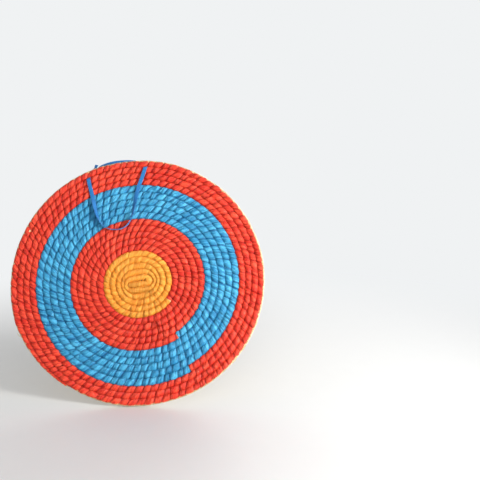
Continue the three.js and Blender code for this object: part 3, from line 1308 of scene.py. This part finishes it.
@dataclass(frozen=True)
class LooseStraws:
    """Single straws that have worked loose from a rope's back, its outer side and its end."""

    on_back: int = 0
    on_rim: int = 0
    at_end: int = 0
    seed: int = 51
    shortest: float = 7 * MM
    longest: float = 20 * MM
    end_length_share: float = 0.7
    radius: float = 0.5 * MM
    thinning: float = 0.45
    sunk: float = 5.8 * MM
    rise: float = 2.2 * MM
    rise_turn: float = 0.7 * math.pi
    drift: float = 3 * MM
    depths: tuple[float, float] = (-3 * MM, 5 * MM)
    rim_share: float = 0.94
    width_shares: tuple[float, float] = (0.25, 0.75)
    rim_sweep: float = 350.0
    clear_of_end: float = 12.0
    end_inset: float = 1.5
    points: int = 7
    around: int = 6
    map_length: float = 42 * MM
    map_step: float = 0.01

    def meshes(self, line: CoilLine, start: float, end: float) -> list[bpy.types.Mesh]:
        """Lays the straws along one length of rope.

        Args:
            line: The coil that the rope follows.
            start: The winding angle where the rope starts.
            end: The winding angle where it ends.

        Returns:
            One closed mesh for each straw.
        """
        draw = np.random.default_rng(self.seed)
        places = [Lying.BACK] * self.on_back + [Lying.RIM] * self.on_rim + [Lying.END] * self.at_end
        shares = np.linspace(0, 1, self.points)
        lift = np.sin(self.rise_turn * shares)
        made = []
        for number, place in enumerate(places):
            at_end = place is Lying.END
            on_rim = place is Lying.RIM
            first = max(start, end - self.rim_sweep) if on_rim else start
            angle = end - self.end_inset if at_end else draw.uniform(first, end - self.clear_of_end)
            inner, outer = line.edge(np.array([angle, angle + 360.0]))
            pitch = np.linalg.norm(outer - inner)
            across = (outer - inner) / pitch
            along = np.array((-across[1], across[0])) * (1 if at_end else draw.choice((-1, 1)))
            wide = pitch * (line.tail_width_share if at_end else 1)
            width_share = self.rim_share if on_rim else draw.uniform(*self.width_shares)
            base = inner + across * wide * width_share
            run = draw.uniform(self.shortest, self.longest)
            run *= self.end_length_share if at_end else 1
            out = shares**2 * draw.uniform(-1, 1) * self.drift + (lift * self.rise if on_rim else 0)
            flat = base + (shares * run)[:, None] * along + out[:, None] * across
            if place is Lying.BACK:
                depth = self.sunk + self.rise * lift
            else:
                depth = draw.uniform(*self.depths) + shares * draw.uniform(-1, 1) * self.rise
            made.append(self.straw(f"loose_straw_{number}", line.placed(flat, depth), run))
        return made

    def straw(self, name: str, points: np.ndarray, run: float) -> bpy.types.Mesh:
        """Sweeps one bare straw through points.

        Args:
            name: Name of the mesh.
            points: Points of its middle line.
            run: Its length.

        Returns:
            The closed mesh.
        """
        side, lift = across_line(points, np.array((0.0, 1.0, 0.0)))
        columns = np.arange(self.around + 1)
        turn = (2 * math.pi * columns / self.around)[None, :, None]
        shares = np.linspace(0, 1, len(points))
        reach = (self.radius * (1 - self.thinning * shares))[:, None, None]
        outward = np.cos(turn) * side[:, None, :] + np.sin(turn) * lift[:, None, :]
        rings = points[:, None, :] + reach * outward
        bare = np.ones(rings.shape[:2])
        marks = {"groove": 0 * bare, "valley": 0 * bare, "flank": 0 * bare, "chip": bare}
        lay_u = shares * run / self.map_length
        return Shaper.wrapped(name, rings, lay_u, columns * self.map_step, marks)


@dataclass
class StrawRope:
    """One painted length of two-strand straw rope, wound from one butt to the next."""

    name: str
    node: str
    slot: str
    start: float
    end: float
    seed: int
    line: CoilLine = CoilLine()
    around: int = 32
    ring_step: float = 1.85 * MM
    end_steps: tuple[float, ...] = (0, 0.3 * MM, 0.8 * MM)

    half_thickness: float = 7.05 * MM
    overlap: float = 0.6 * MM
    squareness: float = 3.6
    slit_gap: float = 0.5 * MM
    slit_angles: tuple[float, ...] = (65.7, 74.7, 155, 195)
    slit_softness: float = 0.22
    sway: Unevenness = Unevenness(3, 30 * MM, 160 * MM, 0.18 * MM)
    bob: Unevenness = Unevenness(11, 40 * MM, 200 * MM, 0.22 * MM)

    lay_turns: tuple[float, ...] = (0, 3, 5.5, 9, 11, 14, 19)
    lay_lengths: tuple[float, ...] = (23.0, 24.6, 25.8, 27.8, 30.0, 31.0, 31.4)
    lay_uneven: Unevenness = Unevenness(1, 50 * MM, 400 * MM, 0.05)
    twist_uneven: Unevenness = Unevenness(2, 20 * MM, 70 * MM, 0.2)
    nesting: float = 0.92
    nested_at: float = 0.33 * math.pi
    nesting_fade: float = 50.0
    face_pull: float = 0.72
    pull_swing: float = 0.4
    pull_overtone: float = 0.3
    steepest: float = math.radians(300)

    groove_depth: float = 2.7 * MM
    groove_shape: float = 2.9
    groove_turns: tuple[float, ...] = (0, 19)
    groove_shares: tuple[float, ...] = (1.0, 1.0)
    groove_uneven: Unevenness = Unevenness(9, 20 * MM, 100 * MM, 0.22)
    groove_taper: float = 0.55
    pinch: float = 0.84
    pinch_swing: float = 0.5
    flank_fill: float = 0.97
    flank_power: float = 4.5
    rim_fill: float = 0.7
    rim_ramp: float = 2.2
    rim_fade: float = 4.0
    crown: Unevenness = Unevenness(5, 12 * MM, 50 * MM, 0.3 * MM)
    lean: Unevenness = Unevenness(10, 12 * MM, 30 * MM, 0.3 * MM)
    crown_power: float = 5.0
    end_rounding: float = 2.6 * MM
    end_shrink: float = 0.16
    end_power: float = 2.2
    cap_inset: float = 0.9 * MM

    chips: tuple[Spot, ...] = ()
    chip_wear: float = 0.66
    end_wear: float = 0.75
    end_wear_fade: float = 1.5
    pools: tuple[Spot, ...] = ()
    pool_fill: float = 0.75
    # Where the painted shade in the valleys between turns starts, how wide it grows and its curve.
    valley_from: float = 0.62
    valley_span: float = 0.3
    valley_power: float = 1.5
    flank_ramp: float = 3.0
    loose: LooseStraws = LooseStraws()
    map_radius: float = 6.7 * MM

    def rings_along(self) -> tuple[np.ndarray, np.ndarray]:
        """Spaces rings evenly along the rope, with a few close to its ends.

        Returns:
            The rings' winding angles and their lengths along the rope.
        """
        fine = np.arange(self.start, self.end + 0.5, 0.5)
        runs = full_lengths((self.line.edge(fine) + self.line.edge(fine + 360)) / 2)
        count = int(round(runs[-1] / self.ring_step)) + 1
        near = np.array(self.end_steps)
        evenly = np.linspace(0, runs[-1], count)
        along = np.unique(np.concatenate([evenly, near, runs[-1] - near]))
        return np.interp(along, runs, fine), along

    def twist(self, angle: np.ndarray, along: np.ndarray) -> np.ndarray:
        """Turns the strands along the rope, so that each turn's bulges nest in the last one's.

        Args:
            angle: The rings' winding angles in degrees.
            along: Their lengths along the rope.

        Returns:
            How far the strands have turned at each ring, in radians.
        """
        lay = np.interp(angle / 360, self.lay_turns, self.lay_lengths) * MM
        rate = 2 * math.pi / lay * (1 + self.lay_uneven.at(self.seed, along))
        turned = np.concatenate([[0], np.cumsum((rate[1:] + rate[:-1]) / 2 * np.diff(along))])
        turned += self.twist_uneven.at(self.seed, along)
        nested = turned.copy()
        for first in np.arange(angle[0] + 360, angle[-1], 360):
            lap = (angle >= first) & (angle < first + 360)
            last = angle[lap] - 360
            grown = turned[lap] - np.interp(last, angle, turned)
            held = self.nesting / 2 * np.clip((last - angle[0]) / self.nesting_fade, 0, 1)
            grown = grown - held * np.sin(2 * (grown - self.nested_at))
            nested[lap] = np.interp(last, angle, nested) + grown
        return nested

    def slit_share(self, angle: np.ndarray) -> np.ndarray:
        """Says how much winding angles in degrees belong to the slit in the coil's middle."""
        return np.interp(np.abs(angle), self.slit_angles, (0, 1, 1, 0))

    def rim_share(self, angle: np.ndarray) -> np.ndarray:
        """Says how much winding angles in degrees belong to the coil's last turn."""
        return np.clip((angle - self.line.tail_end + 360) / self.rim_fade, 0, 1)[:, None]

    def groove_share(self, angle: np.ndarray) -> np.ndarray:
        """Gives how deep the grooves are at winding angles in degrees, as a share."""
        return np.interp(angle / 360, self.groove_turns, self.groove_shares)

    def course(self, angle: np.ndarray, along: np.ndarray) -> tuple[np.ndarray, ...]:
        """Finds where the rope runs and how large its section is.

        Args:
            angle: The rings' winding angles in degrees.
            along: Their lengths along the rope.

        Returns:
            The rope's middle and the way outwards in the coil's plane, half its width and half
            its thickness, at each ring.
        """
        inner = self.line.edge(angle)
        across = self.line.edge(angle + 360) - inner
        width = np.linalg.norm(across, axis=1)
        across /= width[:, None]
        taper = self.line.tapering(angle)
        width = width * (1 + (self.line.tail_width_share - 1) * taper)
        middle = inner + across * (width / 2)[:, None]
        sway = self.sway.at(self.seed, along) * (1 - taper)
        slit = self.slit_gap / 2 * self.slit_share(angle)
        middle = middle + across * (sway + slit)[:, None]
        half_width = width / 2 + self.overlap - slit
        half_depth = self.half_thickness * (1 + (self.line.tail_thickness_share - 1) * taper)
        return middle, across, half_width, half_depth

    def turned(self, angle: np.ndarray, along: np.ndarray) -> np.ndarray:
        """Lays the columns round the rope, drawn slantwise over its face as a twisted strand is.

        Args:
            angle: The rings' winding angles in degrees.
            along: Their lengths along the rope.

        Returns:
            The direction of each section point by ring and column, in radians.
        """
        columns = np.arange(self.around + 1)
        even = 2 * math.pi * columns / self.around + self.twist(angle, along)[:, None]
        swing = self.pull_swing * np.cos(np.radians(angle) - self.steepest)
        pull = (self.face_pull + swing)[:, None]
        return even - pull * (np.sin(2 * even) / 2 - self.pull_overtone * np.sin(4 * even) / 4)

    def relief(
        self, angle: np.ndarray, along: np.ndarray, turn: np.ndarray, filled: np.ndarray
    ) -> tuple[np.ndarray, np.ndarray, np.ndarray]:
        """Shapes the two strands over the rope's even section.

        Args:
            angle: The rings' winding angles in degrees.
            along: Their lengths along the rope.
            turn: The direction of each section point.
            filled: How much of the groove thick paint leaves open at each point.

        Returns:
            How far into a groove each point lies, how deep it sinks and how high it rises.
        """
        columns = np.arange(self.around + 1)
        half = self.around // 2
        local = (columns % half) / half * 2 - 1
        groove = np.abs(local) ** self.groove_shape
        crowns = [self.crown.at(self.seed + strand, along)[:, None] for strand in (0, 1)]
        crown = np.where((columns // half % 2 == 0)[None, :], *crowns) * (1 - groove)[None, :]
        lean = self.lean.at(self.seed, along)[:, None] * (local * (1 - groove))[None, :]

        cos = np.cos(turn)
        flank = np.abs(cos)
        taper = self.line.tapering(angle)
        uneven = 1 + self.groove_uneven.at(self.seed, along)
        depth = self.groove_depth * (1 - self.groove_taper * taper) * uneven
        depth = depth * self.groove_share(angle)
        pinch = self.pinch + self.pinch_swing * np.abs(np.sin(2 * turn))
        pinch = pinch * (1 - self.flank_fill * flank**self.flank_power)
        outer_side = np.clip(cos * self.rim_ramp, 0, 1)
        pinch = pinch * (1 - self.rim_fill * self.rim_share(angle) * outer_side)
        groove = groove[None, :] * filled
        sunk = depth[:, None] * groove * pinch
        return groove, sunk, (crown + lean) * (1 - flank**self.crown_power)

    def mesh(self) -> bpy.types.Mesh:
        """Builds the rope with its two strands.

        Returns:
            The closed mesh, with its cut ends as material 1.
        """
        angle, along = self.rings_along()
        middle, across, half_width, half_depth = self.course(angle, along)
        turn = self.turned(angle, along)
        cos, sin = np.cos(turn), np.sin(turn)
        power = (self.squareness * (1 - self.slit_softness * self.slit_share(angle)))[:, None]
        sideways = np.abs(cos / half_width[:, None]) ** power
        deep = np.abs(sin / half_depth[:, None]) ** power
        reach = (sideways + deep) ** (-1 / power)
        flat = middle[:, None, :] + (reach * cos)[..., None] * across[:, None, :]
        pooled = Spot.nearest(self.pools, self.line.placed(flat, -reach * sin))
        groove, sunk, raised = self.relief(angle, along, turn, 1 - self.pool_fill * pooled)
        reach = reach - sunk + raised
        near_end = np.minimum(along - along[0], along[-1] - along) / self.end_rounding
        rounded = (1 - np.minimum(near_end, 1)) ** self.end_power
        reach = reach * (1 - self.end_shrink * rounded)[:, None]

        flat = middle[:, None, :] + (reach * cos)[..., None] * across[:, None, :]
        bob = self.bob.at(self.seed, along)[:, None]
        rings = self.line.placed(flat, -reach * sin + bob)
        marks = self.marks(angle, turn, groove, near_end, rings)
        lay_u = along / (2 * math.pi * self.map_radius) + self.seed
        lay_v = np.arange(self.around + 1) / self.around
        log.info("%s %.2f m long, %d rings", self.name, along[-1] - along[0], len(along))
        return Shaper.wrapped(self.name, rings, lay_u, lay_v, marks, self.cap_inset)

    def marks(
        self,
        angle: np.ndarray,
        turn: np.ndarray,
        groove: np.ndarray,
        near_end: np.ndarray,
        rings: np.ndarray,
    ) -> dict[str, np.ndarray]:
        """Marks where the finish changes.

        Args:
            angle: The rings' winding angles in degrees.
            turn: The direction of each section point.
            groove: How far into a groove each point lies.
            near_end: How far each ring is from the nearer end, in lengths of its rounding.
            rings: The section points.

        Returns:
            The named marks by ring and column.
        """
        cos = np.cos(turn)
        valley = np.clip((np.abs(cos) - self.valley_from) / self.valley_span, 0, 1)
        chip = self.chip_wear * Spot.nearest(self.chips, rings)
        bare_end = np.clip(1 - near_end * self.end_wear_fade, 0, 1)[:, None] * self.end_wear
        # groove and valley say where the finish lays painted shade; flank and chip say where paint
        # is missing.
        return {
            "groove": groove**2 * self.groove_share(angle)[:, None],
            "valley": valley**self.valley_power,
            "flank": np.clip(cos * self.flank_ramp, 0, 1) * self.rim_share(angle),
            "chip": np.maximum(chip, np.broadcast_to(bare_end, chip.shape)),
        }

    def build(self, painted: bpy.types.Material, cut: bpy.types.Material) -> bpy.types.Object:
        """Builds and dresses the rope.

        Args:
            painted: The finish of its length.
            cut: The finish of its two ends.

        Returns:
            The rope.
        """
        meshes = [self.mesh(), *self.loose.meshes(self.line, self.start, self.end)]
        whole = Shaper.joined(self.name, meshes)
        return Shaper.piece(self.name, whole, [painted, cut], self.slot, self.node)


@dataclass
class BindingTwine:
    """A two-ply twine drawn straight across the boss through every turn."""

    node: str
    ply_radius: float = 0.5 * MM
    ply_sides: int = 6
    ply_spread: float = 0.95
    twist_length: float = 7 * MM
    steps_per_twist: int = 10
    weld: float = 1e-6

    def build(self, finish: bpy.types.Material) -> bpy.types.Object:
        """Twists the twine where its solid lies.

        Args:
            finish: The twine's finish.

        Returns:
            The twine.
        """
        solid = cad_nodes[self.node].data
        points = np.empty(len(solid.vertices) * 3)
        solid.vertices.foreach_get("co", points)
        points = points.reshape(-1, 3)
        centre = (points.min(axis=0) + points.max(axis=0)) / 2
        axis = np.linalg.svd(points - points.mean(axis=0), full_matrices=False)[2][0]
        reach = (points - centre) @ axis
        start = Vector(centre + axis * reach.min())
        way = Vector(axis)
        run = float(reach.max() - reach.min())
        twists = run / self.twist_length
        steps = int(twists * self.steps_per_twist)
        turn = way.to_track_quat("Z", "Y").to_matrix().to_4x4()
        twine = bmesh.new()
        for side in (-1, 1):
            aside = Matrix.Translation((side * self.ply_radius * self.ply_spread, 0, 0))
            ply = bmesh.ops.create_circle(
                twine,
                cap_ends=False,
                segments=self.ply_sides,
                radius=self.ply_radius,
                matrix=Matrix.Translation(start) @ turn @ aside,
            )
            rim = list(dict.fromkeys(edge for vert in ply["verts"] for edge in vert.link_edges))
            bmesh.ops.spin(
                twine,
                geom=ply["verts"] + rim,
                cent=start,
                axis=way,
                dvec=way * (run / steps),
                angle=twists * 2 * math.pi,
                steps=steps,
                use_merge=False,
            )
        bmesh.ops.remove_doubles(twine, verts=twine.verts, dist=self.weld)
        open_edges = [edge for edge in twine.edges if edge.is_boundary]
        bmesh.ops.holes_fill(twine, edges=open_edges, sides=0)
        bmesh.ops.recalc_face_normals(twine, faces=twine.faces)
        lay = twine.loops.layers.uv.new("lay")
        round_once = 6 * self.ply_radius
        for face in twine.faces:
            face.smooth = len(face.verts) == 4
            for corner in face.loops:
                gone = (corner.vert.co - start).dot(way)
                corner[lay].uv = (gone / round_once, corner.vert.co.y / round_once)
        mesh = bpy.data.meshes.new(f"{self.node}_plies")
        twine.to_mesh(mesh)
        twine.free()
        return Shaper.piece(f"{self.node}_plies", mesh, [finish], "twine", self.node)


@dataclass(frozen=True)
class Lamp:
    """A soft square lamp that looks at the boss."""

    name: str
    place: Point
    size: float
    power: float
    colour: Point = (1.0, 1.0, 1.0)

    def set_up(self) -> None:
        """Makes the lamp."""
        light = bpy.data.lights.new(self.name, "AREA")
        light.shape = "SQUARE"
        light.size = self.size
        light.energy = self.power
        light.color = self.colour
        lamp = bpy.data.objects.new(self.name, light)
        bpy.context.scene.collection.objects.link(lamp)
        lamp.location = self.place
        lamp.rotation_mode = "QUATERNION"
        lamp.rotation_quaternion = (-Vector(self.place)).to_track_quat("-Z", "Y")


@dataclass
class Studio:
    """The pale floor that the boss leans up from, the plain backdrop and the lamps."""

    lean: float = math.radians(13.2)
    floor_reach: float = 9.0
    floor_squares: int = 8
    floor: Colour = srgb(226, 226, 225)
    floor_grain: Colour = srgb(205, 205, 204)
    floor_roughness: float = 0.55
    grain_scale: float = 26.0
    graininess: float = 0.12
    fade_from: float = 0.45
    fade_to: float = 1.5
    backdrop: Colour = srgb(240, 242, 243)
    sky: Colour = (0.95, 0.97, 1.0, 1.0)
    sky_strength: float = 0.32
    lamps: tuple[Lamp, ...] = (
        Lamp("key_lamp", (1.6, -1.07, 0.22), 0.4, 45.0, (1.0, 0.985, 0.96)),
        Lamp("fill_lamp", (0.5, -2.6, 0.7), 2.2, 17.0),
        Lamp("back_lamp", (0.9, 2.3, 1.4), 1.6, 24.0),
        Lamp("left_back_lamp", (-1.9, 1.3, 0.9), 1.4, 16.0),
    )

    def set_up(self) -> None:
        """Makes the floor, the backdrop and the lamps."""
        foot = Vector((0, 0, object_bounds()[0].z))
        mesh = bpy.data.meshes.new("floor")
        plane = bmesh.new()
        squares = self.floor_squares
        bmesh.ops.create_grid(plane, x_segments=squares, y_segments=squares, size=self.floor_reach)
        lay_down = Matrix.Rotation(self.lean, 4, "X")
        bmesh.ops.transform(plane, matrix=Matrix.Translation(foot) @ lay_down, verts=plane.verts)
        plane.to_mesh(mesh)
        plane.free()
        floor = bpy.data.objects.new("floor", mesh)
        bpy.context.scene.collection.objects.link(floor)
        mesh.materials.append(self.floor_finish(foot))
        floor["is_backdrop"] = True
        self.set_backdrop()
        for lamp in self.lamps:
            lamp.set_up()

    def floor_finish(self, foot: Vector) -> bpy.types.Material:
        """Makes a matt pale floor that fades into the backdrop far away.

        Args:
            foot: Where the boss stands.

        Returns:
            The material.
        """
        made, board = new_material("pale_floor")
        here = board.here()
        away = board.node("ShaderNodeVectorMath", operation="DISTANCE")
        board.feed(away.inputs[0], here)
        away.inputs[1].default_value = foot
        far = board.ramp(away.outputs["Value"], self.fade_from, self.fade_to)
        grain = board.noise(here, self.grain_scale, detail=3.0)
        grain = board.times(grain, self.graininess)
        matt = board.node("ShaderNodeBsdfPrincipled")
        board.feed(matt.inputs["Base Color"], board.blend(grain, self.floor, self.floor_grain))
        matt.inputs["Roughness"].default_value = self.floor_roughness
        glow = board.node("ShaderNodeEmission")
        glow.inputs[0].default_value = self.backdrop
        seen = board.node("ShaderNodeLightPath").outputs
        rays = board.math("MAXIMUM", seen["Is Camera Ray"], seen["Is Glossy Ray"])
        mix = board.node("ShaderNodeMixShader")
        board.feed(mix.inputs[0], board.times(far, rays))
        board.feed(mix.inputs[1], matt.outputs[0])
        board.feed(mix.inputs[2], glow.outputs[0])
        board.feed(board.node("ShaderNodeOutputMaterial").inputs[0], mix.outputs[0])
        return made

    def set_backdrop(self) -> None:
        """Makes the world: pale to the eye and a soft even light on the boss."""
        world = bpy.data.worlds.new("studio")
        world.use_nodes = True
        board = Board(world.node_tree)
        seen = board.node("ShaderNodeLightPath").outputs
        rays = board.math("MAXIMUM", seen["Is Camera Ray"], seen["Is Glossy Ray"])
        rays = board.math("MAXIMUM", rays, seen["Is Transmission Ray"])
        soft = board.node("ShaderNodeBackground")
        soft.inputs[0].default_value = self.sky
        soft.inputs[1].default_value = self.sky_strength
        plain = board.node("ShaderNodeBackground")
        plain.inputs[0].default_value = self.backdrop
        plain.inputs[1].default_value = 1.0
        mix = board.node("ShaderNodeMixShader")
        board.feed(mix.inputs[0], rays)
        board.feed(mix.inputs[1], soft.outputs[0])
        board.feed(mix.inputs[2], plain.outputs[0])
        board.feed(board.node("ShaderNodeOutputWorld").inputs[0], mix.outputs[0])
        bpy.context.scene.world = world


# Each paint: its colour, a lighter tone mixed in at random, and a painted shade colour for grooves
# and valleys.
PAINTS = {
    "gold_straw": PaintedStraw(
        "gold_paint", srgb(248, 148, 34), srgb(255, 186, 76), srgb(224, 130, 32)
    ),
    "red_straw": PaintedStraw("red_paint", srgb(224, 38, 20), srgb(255, 86, 54), srgb(156, 12, 4)),
    "blue_straw": PaintedStraw(
        "blue_paint", srgb(32, 138, 190), srgb(88, 194, 236), srgb(4, 70, 122)
    ),
}

ROPES = (
    StrawRope(
        "gold_rope",
        "bull_rope",
        "gold_straw",
        start=FOLD_START,
        end=GOLD_END,
        seed=100,
        chips=(Spot(64 * MM, -34 * MM, 4.5 * MM),),
        pools=(Spot(-34 * MM, 46 * MM, 20 * MM), Spot(-4 * MM, 56 * MM, 13 * MM)),
        squareness=3.2,
        nesting=0.4,
        groove_depth=2.3 * MM,
        groove_turns=(0, 1, 2, 3.4, 4.5),
        groove_shares=(0.15, 0.25, 0.5, 0.7, 0.85),
        loose=LooseStraws(on_back=9, seed=51),
    ),
    StrawRope(
        "inner_red_rope_lay",
        "inner_red_rope",
        "red_straw",
        start=GOLD_END,
        end=INNER_RED_END,
        seed=200,
        nested_at=0.55 * math.pi,
        loose=LooseStraws(on_back=14, seed=52),
    ),
    StrawRope(
        "blue_rope_lay",
        "blue_rope",
        "blue_straw",
        start=INNER_RED_END,
        end=BLUE_END,
        seed=300,
        loose=LooseStraws(on_back=20, seed=53),
    ),
    StrawRope(
        "outer_red_rope_lay",
        "outer_red_rope",
        "red_straw",
        start=BLUE_END,
        end=TAIL_END,
        seed=400,
        chips=(
            Spot(-217 * MM, 105 * MM, 4.6 * MM),
            Spot(131 * MM, -162 * MM, 3 * MM),
            Spot(120 * MM, -170 * MM, 3 * MM),
        ),
        loose=LooseStraws(on_back=24, on_rim=16, at_end=7, seed=54),
    ),
)
TWINES = ("binding_twine_1", "binding_twine_2", "binding_twine_3")


def main() -> None:
    """Builds the boss, lights it and reports each piece."""
    logging.basicConfig(level=logging.INFO, format="%(name)s: %(message)s")
    bpy.context.scene.view_settings.view_transform = "Standard"
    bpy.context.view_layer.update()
    PhotoView().set_up(CoilLine().middle)
    surfaces = Surfaces()
    pieces = HangingCord().build(BraidedCord().material(surfaces))
    paints = {slot: paint.material(surfaces) for slot, paint in PAINTS.items()}
    cut = CutStraw().material()
    pieces += [rope.build(paints[rope.slot], cut) for rope in ROPES]
    hemp = Twisted().material(surfaces)
    pieces += [BindingTwine(node).build(hemp) for node in TWINES]
    Studio().set_up()
    for piece in pieces:
        log.info("%s: %d faces", piece.name, len(piece.data.polygons))


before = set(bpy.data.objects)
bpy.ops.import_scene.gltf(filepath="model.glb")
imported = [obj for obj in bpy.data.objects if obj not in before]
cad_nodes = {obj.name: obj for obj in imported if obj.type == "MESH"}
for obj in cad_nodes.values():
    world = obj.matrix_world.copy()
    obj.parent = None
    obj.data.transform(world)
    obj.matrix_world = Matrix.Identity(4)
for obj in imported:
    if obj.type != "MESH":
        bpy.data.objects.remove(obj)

if __name__ == "__main__":
    main()
